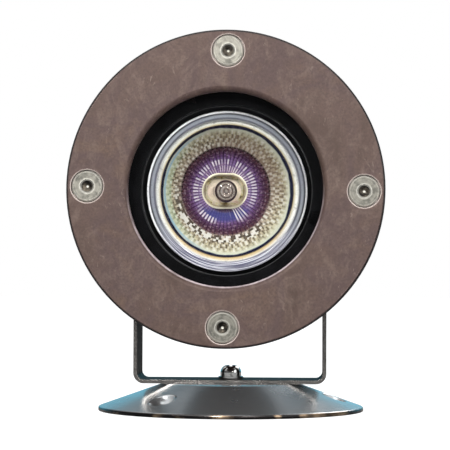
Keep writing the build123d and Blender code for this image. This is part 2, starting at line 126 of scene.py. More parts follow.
# Filament, in millimetres in the lamp's own frame
COIL_START = 13.0          # depths
COIL_END = 17.5
COIL_R = 0.75
COIL_WIRE_R = 0.14
COIL_TURNS = 9
SUPPORT_X = 2.1            # half the distance between the two supports
SUPPORT_R = 0.2
SUPPORT_END = 30.0


# ---------------------------------------- shader helper


class Shader:
    """A material's node tree, written as short calls. A value is a number, a colour or a socket."""

    def __init__(self, tree, output):
        self.tree = tree
        self.tree.nodes.clear()
        self.output = self.tree.nodes.new(output)

    def node(self, kind, values=(), **settings):
        made = self.tree.nodes.new("ShaderNode" + kind)
        for name, setting in settings.items():
            setattr(made, name, setting)
        for name, value in dict(values).items():
            socket = made.inputs[name]
            if isinstance(value, bpy.types.NodeSocket):
                self.tree.links.new(value, socket)
            elif socket.type == "RGBA" and len(value) == 3:
                socket.default_value = (*value, 1.0)
            else:
                socket.default_value = value
        return made

    def place(self):
        return self.node("TexCoord").outputs["Object"]

    def stretched(self, vector, x, y, z):
        return self.vector("MULTIPLY", vector, (x, y, z))

    def vector(self, operation, a, b):
        return self.node("VectorMath", {0: a, 1: b}, operation=operation).outputs[0]

    def length(self, vector):
        return self.node("VectorMath", {0: vector}, operation="LENGTH").outputs["Value"]

    def split(self, vector):
        parts = self.node("SeparateXYZ", {0: vector}).outputs
        return parts[0], parts[1], parts[2]

    def joined(self, x, y, z):
        return self.node("CombineXYZ", {0: x, 1: y, 2: z}).outputs[0]

    def math(self, operation, a, b=0.0, c=0.0):
        return self.node("Math", {0: a, 1: b, 2: c}, operation=operation).outputs[0]

    def times(self, product, *factors):
        for factor in factors:
            product = self.math("MULTIPLY", product, factor)
        return product

    def clamped(self, value, low, high):
        """0 at low, 1 at high, held to that range outside them."""
        values = {"Value": value, "From Min": low, "From Max": high}
        return self.node("MapRange", values, clamp=True).outputs[0]

    def between(self, value, low, high, to_low, to_high):
        """to_low at low, to_high at high, held to that range outside them."""
        values = {"Value": value, "From Min": low, "From Max": high}
        values |= {"To Min": to_low, "To Max": to_high}
        return self.node("MapRange", values, clamp=True).outputs[0]

    def noise(self, vector, scale, detail, roughness=0.55, distortion=0.0):
        values = {
            "Vector": vector,
            "Scale": scale,
            "Detail": detail,
            "Roughness": roughness,
            "Distortion": distortion,
        }
        return self.node("TexNoise", values).outputs["Fac"]

    def ramp(self, fac, *stops):
        """A colour ramp through (position, colour) stops."""
        made = self.node("ValToRGB", {0: fac})
        elements = made.color_ramp.elements
        for index, (position, colour) in enumerate(stops):
            element = elements[index] if index < 2 else elements.new(position)
            element.position = position
            element.color = (*colour, 1.0)
        return made.outputs[0]

    def mix(self, fac, a, b):
        """Colour a where fac is 0, b where it is 1."""
        made = self.node("Mix", data_type="RGBA")
        for socket, value in ((made.inputs[0], fac), (made.inputs[6], a), (made.inputs[7], b)):
            if isinstance(value, bpy.types.NodeSocket):
                self.tree.links.new(value, socket)
            elif socket.type == "RGBA":
                socket.default_value = (*value, 1.0)
            else:
                socket.default_value = value
        return made.outputs[2]

    def bump(self, height, distance, strength, normal=None):
        values = {"Height": height, "Distance": distance, "Strength": strength}
        if normal is not None:
            values["Normal"] = normal
        return self.node("Bump", values).outputs[0]

    def rounded(self, radius):
        """The normal as it would be with every edge rounded."""
        return self.node("Bevel", {"Radius": radius}, samples=6).outputs[0]

    def edges(self, radius):
        """1 on edges that are sharper than the radius, 0 on flat faces."""
        plain = self.node("NewGeometry").outputs["Normal"]
        values = {0: self.rounded(radius), 1: plain}
        agreement = self.node("VectorMath", values, operation="DOT_PRODUCT").outputs["Value"]
        return self.clamped(self.math("SUBTRACT", 1.0, agreement), 0.02, 0.16)

    def principled(self, **values):
        """A principled shader; its inputs are named as base_color for Base Color."""
        titles = [name.replace("_", " ").title().replace("Ior", "IOR") for name in values]
        return self.node("BsdfPrincipled", zip(titles, values.values())).outputs[0]

    def finish(self, shader):
        self.tree.links.new(shader, self.output.inputs["Surface"])

    def surface(self, **values):
        self.finish(self.principled(**values))


def material(name, build):
    made = bpy.data.materials.new(name)
    made.use_nodes = True
    build(Shader(made.node_tree, "ShaderNodeOutputMaterial"))
    return made


# ---------------------------------------- metals


def bronze_patina(s, clouds, smears, grain):
    """Cloudy brown and mauve, with pale smears and scuffs and a fine dark cast grain."""
    colour = s.ramp(
        clouds,
        (0.30, (0.043, 0.024, 0.018)),
        (0.44, (0.066, 0.040, 0.033)),
        (0.56, (0.059, 0.036, 0.034)),
        (0.70, (0.084, 0.052, 0.039)),
    )
    colour = s.mix(s.between(smears, 0.46, 0.72, 0.0, 0.55), colour, (0.118, 0.082, 0.068))
    colour = s.mix(s.between(grain, 0.42, 0.72, 0.0, 0.50), colour, (0.032, 0.020, 0.016))
    scuffs = s.noise(s.stretched(s.place(), 420.0, 420.0, 230.0), 1.0, 6.0, 0.75, 1.5)
    return s.mix(s.between(scuffs, 0.61, 0.70, 0.0, 0.6), colour, (0.165, 0.124, 0.105))


def ring_wear_and_painted_light(s, worn, smears, colour):
    """A painted highlight low on the mouth's lip, bright worn metal in the screw pockets, and
    painted shade as a dark outline on the outer rounding.
    """
    x, y, z = s.split(s.vector("SUBTRACT", s.place(), (0.0, 0.0, pivot_height)))
    from_axis = s.length(s.joined(x, z, 0.0))
    front_half = s.math("LESS_THAN", y, ring_middle)
    # Painted highlight: a pale band on the mouth's lip, in the lower half and in front, broken up
    # by the smears.
    lip = s.clamped(from_axis, RING_MOUTH_R + 0.55 * MM, RING_MOUTH_R + 0.30 * MM)
    low = s.clamped(z, 2.0 * MM, -16.0 * MM)
    highlight_breakup = s.between(smears, 0.35, 0.6, 0.45, 1.0)
    colour = s.mix(s.times(lip, low, highlight_breakup, front_half), colour, (0.44, 0.37, 0.39))
    # Painted shade: a near-black outline on the outer rounding, on its edges and over the ring's
    # front part.
    painted_shade_area = s.math("MAXIMUM", worn, s.math("LESS_THAN", y, ring_middle - 1.2 * MM))
    outer_edge = s.clamped(from_axis, ring_radius - 0.75 * MM, ring_radius - 0.45 * MM)
    colour = s.mix(s.times(painted_shade_area, outer_edge), colour, (0.014, 0.011, 0.011))
    pocket = s.clamped(from_face_screw(s), POCKET_EDGE_R, POCKET_EDGE_R - 0.1 * MM)
    return s.mix(s.times(pocket, front_half), colour, (0.50, 0.43, 0.40))


def black_inside(s):
    """1 in the bore of the housing, in front of BLACK_INSIDE_END, and 0 elsewhere."""
    x, y, z = s.split(s.vector("SUBTRACT", s.place(), (0.0, 0.0, pivot_height)))
    near_axis = s.clamped(s.length(s.joined(x, z, 0.0)), BLACK_INSIDE_R + 0.1 * MM, BLACK_INSIDE_R)
    return s.times(near_axis, s.math("LESS_THAN", y, BLACK_INSIDE_END))


def weathered_brass(s):
    """Cast brass with a dark bronze patina and bright worn edges, black inside the housing."""
    clouds = s.noise(s.place(), 42.0, 5.0, 0.62, 0.6)
    smears = s.noise(s.stretched(s.place(), 150.0, 150.0, 105.0), 1.0, 5.0, 0.65, 1.6)
    grain = s.noise(s.place(), 1300.0, 3.0, 0.65)
    worn = s.edges(0.45 * MM)
    colour = bronze_patina(s, clouds, smears, grain)
    colour = s.mix(s.times(worn, 0.9), colour, (0.42, 0.33, 0.30))
    colour = ring_wear_and_painted_light(s, worn, smears, colour)
    inside = black_inside(s)
    height = s.math("ADD", s.times(grain, 0.6), s.times(smears, 0.4))
    s.surface(
        base_color=s.mix(inside, colour, (0.006, 0.006, 0.007)),
        metallic=s.between(inside, 0.0, 1.0, 0.28, 0.0),
        roughness=s.math("SUBTRACT", s.between(clouds, 0.3, 0.75, 0.50, 0.60), s.times(worn, 0.16)),
        specular_ior_level=0.3,
        normal=s.bump(height, 0.05 * MM, 0.6),
    )


def turned_rings(s, distance):
    """Fine tool marks round an axis, from the distance to it."""
    line = s.joined(s.times(distance, 5200.0), 0.0, 0.0)
    return s.noise(line, 1.0, 2.0, 0.6)


def turned_stainless(s, distance):
    """Turned stainless steel: concentric tool marks, painted highlight rings on the head's edge and
    round the socket, and a socket painted near black as shade, lighter with soil in places, with a
    painted highlight at its bottom.
    """
    marks = turned_rings(s, distance)
    soil = s.noise(s.place(), 520.0, 4.0, 0.65)
    colour = s.mix(s.clamped(marks, 0.35, 0.7), (0.100, 0.096, 0.080), (0.225, 0.216, 0.190))
    colour = s.mix(s.between(soil, 0.46, 0.62, 0.0, 0.85), colour, (0.062, 0.060, 0.052))
    # Painted highlights: a bright ring round the socket and another on the head's edge.
    socket_rim_highlight = s.times(
        s.clamped(distance, 2.6 * MM, 2.1 * MM), s.clamped(distance, 1.7 * MM, 1.85 * MM)
    )
    edge_highlight = s.clamped(distance, 4.15 * MM, 4.4 * MM)
    colour = s.mix(s.times(s.math("MAXIMUM", socket_rim_highlight, edge_highlight), 0.8), colour, (0.42, 0.41, 0.37))
    # Painted shade: the socket is near black, lighter with soil in places, with a painted highlight
    # at its bottom.
    socket = s.clamped(distance, 1.8 * MM, 1.6 * MM)
    socket_shade_and_glint = s.mix(s.clamped(soil, 0.44, 0.62), (0.006, 0.005, 0.004), (0.10, 0.085, 0.065))
    socket_shade_and_glint = s.mix(s.clamped(distance, 0.45 * MM, 0.30 * MM), socket_shade_and_glint, (0.80, 0.78, 0.70))
    colour = s.mix(socket, colour, socket_shade_and_glint)
    roughness = s.between(soil, 0.35, 0.7, 0.34, 0.48)
    normal = s.bump(marks, 0.03 * MM, 0.5)
    s.surface(
        base_color=colour,
        metallic=0.6,
        roughness=roughness,
        specular_ior_level=0.25,
        normal=normal,
    )


def from_face_screw(s):
    """Distance from the axis of the nearest of the four face screws."""
    x, _, z = s.split(s.vector("SUBTRACT", s.place(), (0.0, 0.0, pivot_height)))
    clock = math.radians(SCREW_CLOCK)
    across = s.math("ADD", s.times(x, math.cos(clock)), s.times(z, -math.sin(clock)))
    upright = s.math("ADD", s.times(z, math.cos(clock)), s.times(x, math.sin(clock)))
    across = s.math("ABSOLUTE", across)
    upright = s.math("ABSOLUTE", upright)
    out = s.math("SUBTRACT", s.math("MAXIMUM", across, upright), SCREW_CIRCLE_R)
    return s.length(s.joined(out, s.math("MINIMUM", across, upright), 0.0))


def face_screw_steel(s):
    """Tool marks round each of the four face screws."""
    turned_stainless(s, from_face_screw(s))


def pivot_steel(s):
    """Tool marks round the tilt axis."""
    _, y, z = s.split(s.vector("SUBTRACT", s.place(), (0.0, 0.0, pivot_height)))
    turned_stainless(s, s.length(s.joined(y, z, 0.0)))


def base_fastener_steel(s):
    """Bright fasteners in the middle of the base, with tool marks round the swivel axis."""
    x, y, _ = s.split(s.place())
    marks = turned_rings(s, s.length(s.joined(x, y, 0.0)))
    soil = s.noise(s.place(), 620.0, 4.0, 0.65)
    colour = s.mix(s.clamped(marks, 0.35, 0.7), (0.50, 0.49, 0.47), (0.74, 0.73, 0.71))
    colour = s.mix(s.between(soil, 0.54, 0.68, 0.0, 0.7), colour, (0.09, 0.085, 0.075))
    roughness = s.between(soil, 0.35, 0.7, 0.07, 0.13)
    normal = s.bump(marks, 0.01 * MM, 0.4)
    s.surface(base_color=colour, metallic=1.0, roughness=roughness, normal=normal)


def brushed_stainless(s):
    """Stainless strip brushed along its length, with painted shade, near black, on its faces inside
    the yoke.

    Its sheared edges are rounded and a warm dark grey."""
    coordinates = s.node("TexCoord").outputs
    place = coordinates["Object"]
    x, y, _ = s.split(place)
    facing_x, _, facing_z = s.split(coordinates["Normal"])
    inwards = s.times(facing_x, s.math("SIGN", x))
    inner = s.clamped(s.math("SUBTRACT", facing_z, inwards), 0.3, 0.7)
    strokes = s.noise(s.stretched(place, 45.0, 5200.0, 45.0), 1.0, 5.0, 0.6)
    smudges = s.noise(place, 85.0, 4.0, 0.6)
    colour = s.mix(s.clamped(strokes, 0.3, 0.7), (0.20, 0.195, 0.188), (0.36, 0.35, 0.335))
    # Painted shade: the faces inside the yoke, facing up or inwards, are painted near black; away
    # from the sheared edges they are made less metallic too.
    colour = s.mix(inner, colour, (0.035, 0.034, 0.033))
    sheared = s.clamped(s.math("ABSOLUTE", y), STRIP_HALF - 0.25 * MM, STRIP_HALF - 0.05 * MM)
    grain = s.noise(place, 1500.0, 3.0, 0.6)
    edge_colour = s.mix(s.clamped(grain, 0.35, 0.7), (0.105, 0.098, 0.093), (0.205, 0.195, 0.186))
    colour = s.mix(sheared, colour, edge_colour)
    colour = s.mix(s.between(smudges, 0.5, 0.72, 0.0, 0.4), colour, (0.13, 0.118, 0.105))
    painted_shade_area = s.times(inner, s.math("SUBTRACT", 1.0, sheared))
    metallic = s.between(painted_shade_area, 0.0, 1.0, 0.92, 0.15)
    roughness = s.between(smudges, 0.3, 0.7, 0.20, 0.30)
    normal = s.bump(strokes, 0.015 * MM, 0.45, s.rounded(0.4 * MM))
    s.surface(
        base_color=colour,
        metallic=metallic,
        roughness=roughness,
        specular_ior_level=0.0,
        normal=normal,
    )


def polished_stainless(s):
    """Spun and polished stainless sheet: faint spinning lines, soft stains, and a painted dark
    reflection along its lip with painted warm highlights.
    """
    place = s.place()
    x, y, z = s.split(place)
    distance = s.length(s.joined(x, y, 0.0))
    lines = s.noise(s.joined(s.times(distance, 2600.0), s.times(z, 40.0), 0.0), 1.0, 3.0)
    stains = s.noise(place, 60.0, 5.0, 0.62, 0.3)
    colour = s.mix(s.clamped(stains, 0.36, 0.7), (0.68, 0.70, 0.71), (0.52, 0.54, 0.555))
    colour = s.mix(s.between(lines, 0.35, 0.7, 0.0, 0.25), colour, (0.40, 0.415, 0.43))
    # Painted reflection along the lip: a near-black line, with painted warm highlights where this
    # noise is high.
    lip_glint_noise = s.noise(place, 75.0, 3.0, 0.6)
    soil = s.mix(s.clamped(lip_glint_noise, 0.54, 0.66), (0.020, 0.018, 0.018), (0.50, 0.36, 0.24))
    lip = s.clamped(distance, base_radius - 0.45 * MM, base_radius - 0.1 * MM)
    colour = s.mix(lip, colour, soil)
    roughness = s.between(stains, 0.32, 0.7, 0.20, 0.29)
    s.surface(base_color=colour, metallic=0.95, roughness=roughness)


def plain_brass(s):
    """Machined brass, dulled in places."""
    place = s.place()
    marks = s.noise(s.stretched(place, 300.0, 2600.0, 300.0), 1.0, 4.0)
    tarnish = s.noise(place, 130.0, 5.0, 0.62)
    colour = s.mix(s.clamped(marks, 0.3, 0.7), (0.56, 0.38, 0.16), (0.74, 0.54, 0.26))
    colour = s.mix(s.between(tarnish, 0.46, 0.7, 0.0, 0.65), colour, (0.27, 0.175, 0.09))
    roughness = s.between(tarnish, 0.35, 0.7, 0.28, 0.5)
    normal = s.bump(marks, 0.02 * MM, 0.5)
    s.surface(base_color=colour, metallic=1.0, roughness=roughness, normal=normal)


def zinc_steel(s):
    """Zinc-plated steel with a faint blue and yellow passivation."""
    place = s.place()
    tint = s.noise(place, 90.0, 4.0, 0.6)
    grain = s.noise(place, 1700.0, 2.0)
    colour = s.ramp(
        tint,
        (0.35, (0.58, 0.61, 0.66)),
        (0.52, (0.66, 0.67, 0.66)),
        (0.70, (0.68, 0.63, 0.48)),
    )
    roughness = s.between(grain, 0.3, 0.7, 0.30, 0.42)
    normal = s.bump(grain, 0.01 * MM, 0.5)
    s.surface(base_color=colour, metallic=1.0, roughness=roughness, normal=normal)


def plated_pins(s):
    """Nickel-plated pins with drawing lines along them."""
    place = s.place()
    lines = s.noise(s.stretched(place, 6000.0, 120.0, 6000.0), 1.0, 3.0)
    colour = s.mix(s.clamped(lines, 0.3, 0.7), (0.60, 0.59, 0.55), (0.78, 0.76, 0.71))
    normal = s.bump(lines, 0.01 * MM, 0.4)
    s.surface(base_color=colour, metallic=1.0, roughness=0.22, normal=normal)


def tinned_copper(s):
    """Tinned copper crimps, slightly mottled."""
    place = s.place()
    mottle = s.noise(place, 700.0, 4.0, 0.6)
    colour = s.mix(s.clamped(mottle, 0.35, 0.7), (0.72, 0.71, 0.69), (0.60, 0.50, 0.42))
    roughness = s.between(mottle, 0.35, 0.7, 0.25, 0.4)
    normal = s.bump(mottle, 0.02 * MM, 0.4)
    s.surface(base_color=colour, metallic=1.0, roughness=roughness, normal=normal)


def tungsten(s):
    """Drawn tungsten wire, dark grey."""
    lines = s.noise(s.stretched(s.place(), 5000.0, 5000.0, 300.0), 1.0, 3.0)
    colour = s.mix(s.clamped(lines, 0.3, 0.7), (0.30, 0.29, 0.28), (0.52, 0.50, 0.47))
    s.surface(base_color=colour, metallic=1.0, roughness=0.28)


# ---------------------------------------- glass


def see_through(s, tint, gloss_floor, gloss_rise, roughness):
    """Thin clear glass: transparent, with reflections that grow towards grazing angles."""
    facing = s.node("LayerWeight", {"Blend": 0.5}).outputs["Facing"]
    grazing = s.math("POWER", facing, 5.0)
    fresnel = s.math("MULTIPLY_ADD", grazing, gloss_rise, gloss_floor)
    clear = s.node("BsdfTransparent", {"Color": tint}).outputs[0]
    gloss = s.node("BsdfAnisotropic", {"Color": (1.0, 1.0, 1.0), "Roughness": roughness}).outputs[0]
    s.finish(s.node("MixShader", {0: fresnel, 1: clear, 2: gloss}).outputs[0])


def clear_glass(s):
    """Toughened glass with a trace of water marks on it."""
    marks = s.noise(s.place(), 120.0, 5.0, 0.65)
    see_through(s, (0.985, 0.99, 0.988), 0.02, 0.9, s.between(marks, 0.5, 0.75, 0.0, 0.05))


def lamp_cover_glass(s):
    """Thin, nearly reflection-free front glass of the lamp."""
    marks = s.noise(s.place(), 300.0, 4.0, 0.6)
    see_through(s, (0.99, 0.99, 0.985), 0.004, 0.5, s.between(marks, 0.5, 0.75, 0.0, 0.04))


def from_lamp_axis(s):
    """Distance from the lamp's axis, in millimetres, on a CAD node."""
    lamp = lamp_frame()
    axis = lamp.to_3x3() @ Vector((0.0, 0.0, 1.0))
    arm = s.vector("SUBTRACT", s.place(), tuple(lamp.translation))
    return s.math("DIVIDE", s.length(s.vector("CROSS_PRODUCT", arm, tuple(axis))), MM)


def quartz(s):
    """Quartz glass of the capsule: drawn tube with a melted tip whose rings bend the light, with
    painted pinkish and cream-white rings of light and shade over them and a painted dark edge
    outside 3 mm.
    """
    lines = s.noise(s.stretched(s.place(), 2500.0, 150.0, 2500.0), 1.0, 3.0)
    distance = from_lamp_axis(s)
    ripples = s.math("SINE", s.times(distance, math.tau / QUARTZ_RIPPLE))
    # Painted light and shade: pinkish and cream-white rings follow the ripples, and the colour
    # darkens outside 3 mm from the axis.
    colour = s.ramp(
        s.clamped(ripples, -1.0, 1.0),
        (0.05, (0.46, 0.29, 0.26)),
        (0.45, (0.90, 0.82, 0.78)),
        (0.80, (1.00, 0.94, 0.89)),
    )
    colour = s.mix(s.clamped(distance, 2.75, 3.0), colour, (0.16, 0.10, 0.09))
    height = s.math("ADD", ripples, s.times(lines, 0.2))
    normal = s.bump(height, 0.12 * MM, 0.6)
    glass = s.principled(
        base_color=colour, roughness=0.02, ior=1.45, transmission_weight=0.8, normal=normal
    )
    shadow = s.node("LightPath").outputs["Is Shadow Ray"]
    clear = s.node("BsdfTransparent", {"Color": (0.92, 0.90, 0.88)}).outputs[0]
    s.finish(s.node("MixShader", {0: shadow, 1: glass, 2: clear}).outputs[0])


def pressed_glass(s):
    """Rim of the reflector: cream to white under the front glass, grey-lavender outside it, with
    painted shade rings at the seat's rounding and in the groove and a painted highlight ring on the
    outer edge.

    Low down it has fine painted dark and pale arcs of reflection outside, and a painted warm glow
    inside."""
    place = s.place()
    x, y, z = s.split(place)
    radius = s.math("DIVIDE", s.length(s.joined(x, y, 0.0)), MM)
    # Painted shade rings at the seat's rounding and in the groove, and a painted highlight ring on
    # the outer edge.
    colour = s.ramp(
        s.clamped(radius, 20.0, 26.0),
        (0.155, (0.008, 0.012, 0.045)),
        (0.185, (0.46, 0.36, 0.20)),
        (0.24, (0.66, 0.62, 0.50)),
        (0.33, (0.96, 0.95, 0.90)),
        (0.41, (0.93, 0.93, 0.92)),
        (0.45, (0.15, 0.155, 0.17)),
        (0.51, (0.060, 0.062, 0.075)),
        (0.58, (0.27, 0.285, 0.33)),
        (0.66, (0.26, 0.275, 0.31)),
        (0.71, (0.10, 0.105, 0.12)),
        (0.765, (0.030, 0.032, 0.036)),
        (0.80, (0.95, 0.95, 0.97)),
        (0.88, (0.97, 0.97, 0.98)),
    )
    clouds = s.noise(place, 110.0, 4.0, 0.6, 0.5)
    colour = s.mix(s.between(clouds, 0.46, 0.70, 0.0, 0.35), colour, (0.20, 0.19, 0.27))
    flecks = s.noise(place, 900.0, 3.0, 0.7)
    colour = s.mix(s.between(flecks, 0.56, 0.70, 0.0, 0.5), colour, (0.12, 0.12, 0.14))
    # Low down: painted dark and pale arcs of reflection outside, and a painted warm glow inside.
    low = s.clamped(y, 9.0 * MM, 19.0 * MM)
    arcs = s.noise(s.joined(s.times(radius, 4.0), s.times(x, 60.0), 0.0), 1.0, 2.0)
    streaked = s.mix(s.clamped(arcs, 0.46, 0.60), (0.09, 0.085, 0.15), (0.78, 0.78, 0.86))
    colour = s.mix(s.times(low, s.clamped(radius, 21.9, 22.3), 0.85), colour, streaked)
    colour = s.mix(s.times(low, s.clamped(radius, 22.1, 21.7), 0.5), colour, (0.80, 0.55, 0.26))
    colour = s.mix(s.clamped(z, 1.9 * MM, 3.0 * MM), colour, (0.17, 0.15, 0.19))
    streaks = s.noise(s.joined(s.times(radius, 3.2), 0.0, 0.0), 1.0, 3.0)
    normal = s.bump(streaks, 0.06 * MM, 0.5)
    s.surface(
        base_color=colour,
        metallic=0.1,
        roughness=0.15,
        normal=normal,
        coat_weight=0.25,
        coat_roughness=0.05,
    )


def facet_pattern(s, angle, radius):
    """For each facet: 1 on its crest to 0 in its valleys, and two random numbers.

    The first number is the facet's own; the second belongs to a quarter of it. The rows outside
    ZONE_R stand half a facet apart, as in cushion(). Inside ZONE_R there is one row, for the
    flutes, and it stands half a flute beside their relief."""
    row = s.times(s.math("SUBTRACT", MOUTH_R, radius), FACET_ROWS / (MOUTH_R - ZONE_R))
    row = s.math("MINIMUM", row, FACET_ROWS + 0.5)
    odd = s.math("MODULO", s.math("ABSOLUTE", s.math("FLOOR", row)), 2.0)
    column = s.math("MULTIPLY_ADD", odd, 0.5, s.times(angle, FACETS / math.tau))
    crest = s.math("ABSOLUTE", s.math("SINE", s.times(column, math.pi)))
    numbers = []
    for parts in (1.0, 2.0):
        across = s.math("FLOOR", s.times(column, parts))
        along = s.math("FLOOR", s.times(row, parts))
        cell = s.joined(across, along, 0.0)
        chance = s.node("TexWhiteNoise", {"Vector": cell}, noise_dimensions="3D")
        numbers.append(chance.outputs["Value"])
    return crest, numbers[0], numbers[1]


def band(s, radius, start, end, soft=0.35):
    """1 between two radii, falling to 0 outside them."""
    return s.times(s.clamped(radius, start - soft, start), s.clamped(radius, end + soft, end))


def glints(s, middle, size):
    """Mask of a patch of painted highlights: 1 near a point of the bowl, falling to 0 at a distance
    from it; both in millimetres.
    """
    x, y, _ = s.split(s.vector("SUBTRACT", s.place(), (middle[0] * MM, middle[1] * MM, 0.0)))
    return s.clamped(s.length(s.joined(x, y, 0.0)), size * MM, 0.6 * size * MM)


def coated_facets(s, radius, pattern, colour):
    """Small cushions outside ZONE_R: painted shade in the valleys, and painted highlights and shade
    that make the facets of very different brightness.

    Low down the innermost rows are chequered with painted shade and highlights; the bowl is tan
    towards the upper right, and greenish with a pale blue edge on the left."""
    crest, _, quarter = pattern
    x, y, _ = s.split(s.place())
    uneven = s.noise(s.place(), 190.0, 2.0, 0.5)
    # Painted shade in the valleys between the facets, stronger further into the bowl.
    depth = s.times(s.clamped(radius, 19.8, 18.0), s.between(uneven, 0.36, 0.6, 0.6, 1.0))
    dark = s.times(s.clamped(crest, 0.70, 0.20), depth)
    colour = s.mix(s.times(dark, 0.9), colour, (0.09, 0.065, 0.04))
    inside = s.clamped(radius, 19.7, 19.3)
    # Painted highlights on the crests of some facets.
    shine = s.times(s.clamped(crest, 0.6, 0.95), s.clamped(quarter, 0.45, 0.75), inside)
    colour = s.mix(shine, colour, (1.0, 0.98, 0.90))
    # Painted shade on other facets.
    shade = s.times(s.clamped(quarter, 0.34, 0.12), depth)
    colour = s.mix(s.times(shade, 0.75), colour, (0.16, 0.11, 0.075))
    # Low down, the innermost rows are painted in checks of black shade and white highlight.
    low = s.clamped(s.math("SUBTRACT", y, s.times(x, 0.4)), 4.0 * MM, 9.0 * MM)
    checks = s.times(band(s, radius, ZONE_R, 16.4), low)
    black = s.times(checks, s.clamped(quarter, 0.46, 0.40))
    white = s.times(checks, s.clamped(quarter, 0.54, 0.60))
    colour = s.mix(s.times(black, 0.8), colour, (0.06, 0.044, 0.030))
    colour = s.mix(white, colour, (1.0, 0.98, 0.92))
    upper_right = s.clamped(s.math("SUBTRACT", x, y), 10.0 * MM, 19.0 * MM)
    tan = s.times(upper_right, s.clamped(radius, 19.0, 17.8), 0.40)
    colour = s.mix(tan, colour, (0.40, 0.28, 0.19))
    green = s.times(s.clamped(x, -9.0 * MM, -17.0 * MM), band(s, radius, 17.8, 19.3), 0.3)
    colour = s.mix(green, colour, (0.66, 0.95, 0.62))
    pale = s.times(s.clamped(x, -6.0 * MM, -15.0 * MM), band(s, radius, 19.5, 19.9, 0.2), 0.8)
    return s.mix(pale, colour, (0.42, 0.72, 0.95))


def coated_flutes(s, radius, pattern, colour):
    """Flutes inside ZONE_R: fine dark lines, royal blue low down, painted shade just under the
    neck, and lilac-white dashes and glints that are painted highlights.

    Faint rings and flecks lie over them, and dark dots at the edge of the cushions, except low
    down."""
    crest, chance, quarter = pattern
    _, y, _ = s.split(s.place())
    dark = s.times(s.clamped(crest, 0.65, 0.1), 0.8)
    colour = s.mix(dark, colour, (0.030, 0.012, 0.040))
    rings = s.math("SINE", s.times(radius, math.tau / 0.85))
    colour = s.mix(s.between(rings, 0.2, 1.0, 0.0, 0.35), colour, (0.06, 0.025, 0.05))
    flecks = s.noise(s.place(), 1100.0, 2.0, 0.6)
    colour = s.mix(s.between(flecks, 0.54, 0.66, 0.0, 0.45), colour, (0.62, 0.42, 0.55))
    dots = s.times(
        band(s, radius, 13.9, 14.5, 0.2), s.clamped(crest, 0.55, 0.85), s.clamped(y, 8.0 * MM, 0.0)
    )
    colour = s.mix(s.times(dots, 0.9), colour, (0.020, 0.010, 0.012))
    low = s.times(s.clamped(y, 4.5 * MM, 7.0 * MM), band(s, radius, 7.4, 9.4, 1.2))
    colour = s.mix(s.times(low, 0.85), colour, (0.055, 0.075, 0.32))
    # Painted shade just under the neck.
    under_neck = s.times(s.clamped(y, 4.5 * MM, 5.5 * MM), s.clamped(radius, 7.2, 6.6))
    colour = s.mix(s.times(under_neck, 0.8), colour, (0.05, 0.022, 0.045))
    # Painted highlights: lilac-white dashes, and two clusters of glints, on the flutes.
    outer_dashes = s.times(band(s, radius, 8.9, 10.2), s.clamped(y, 6.5 * MM, 2.5 * MM))
    outer_dashes = s.times(outer_dashes, s.clamped(chance, 0.02, 0.35))
    inner_dashes = s.times(band(s, radius, 6.4, 8.2, 0.2), s.clamped(y, 3.0 * MM, -1.0 * MM))
    inner_dashes = s.times(inner_dashes, s.clamped(quarter, 0.2, 0.6))
    dashes = s.math("MAXIMUM", outer_dashes, inner_dashes)
    left_glints = s.times(glints(s, (-6.2, 8.6), 4.0), band(s, radius, 9.5, 11.0, 0.3))
    right_glints = s.times(glints(s, (4.6, 6.8), 3.4), s.clamped(chance, 0.3, 0.6))
    dashes = s.math("MAXIMUM", dashes, s.math("MAXIMUM", left_glints, right_glints))
    dashes = s.times(dashes, s.clamped(crest, 0.60, 0.85))
    return s.mix(dashes, colour, (1.0, 0.95, 1.0))


def dichroic_coating(s):
    """Colours of the coated bowl by radius: cream outside, maroon and purple, then violet."""
    place = s.place()
    x, y, _ = s.split(place)
    radius = s.math("DIVIDE", s.length(s.joined(x, y, 0.0)), MM)
    pattern = facet_pattern(s, s.math("ARCTAN2", y, x), radius)
    wander = s.noise(place, 160.0, 3.0, 0.5)
    shifted = s.math("ADD", radius, s.between(wander, 0.3, 0.7, -0.2, 0.2))
    colour = s.ramp(
        s.clamped(shifted, 6.0, 21.0),
        (0.06, (0.50, 0.36, 0.62)),
        (0.17, (0.36, 0.24, 0.52)),
        (0.27, (0.27, 0.15, 0.40)),
        (0.36, (0.16, 0.07, 0.20)),
        (0.46, (0.110, 0.040, 0.080)),
        (0.535, (0.17, 0.075, 0.085)),
        (0.575, (0.62, 0.50, 0.42)),
        (0.64, (0.74, 0.64, 0.50)),
        (0.76, (0.72, 0.64, 0.45)),
        (0.86, (0.86, 0.82, 0.60)),
        (0.930, (0.92, 0.95, 0.80)),
        (0.952, (0.010, 0.016, 0.060)),
    )
    outside = s.clamped(radius, ZONE_R - 0.1, ZONE_R)
    facets = coated_facets(s, radius, pattern, colour)
    flutes = coated_flutes(s, radius, pattern, colour)
    colour = s.mix(outside, flutes, facets)
    metallic = s.between(outside, 0.0, 1.0, 0.40, 0.25)
    roughness = s.between(wander, 0.3, 0.7, 0.10, 0.20)
    s.surface(base_color=colour, metallic=metallic, roughness=roughness)


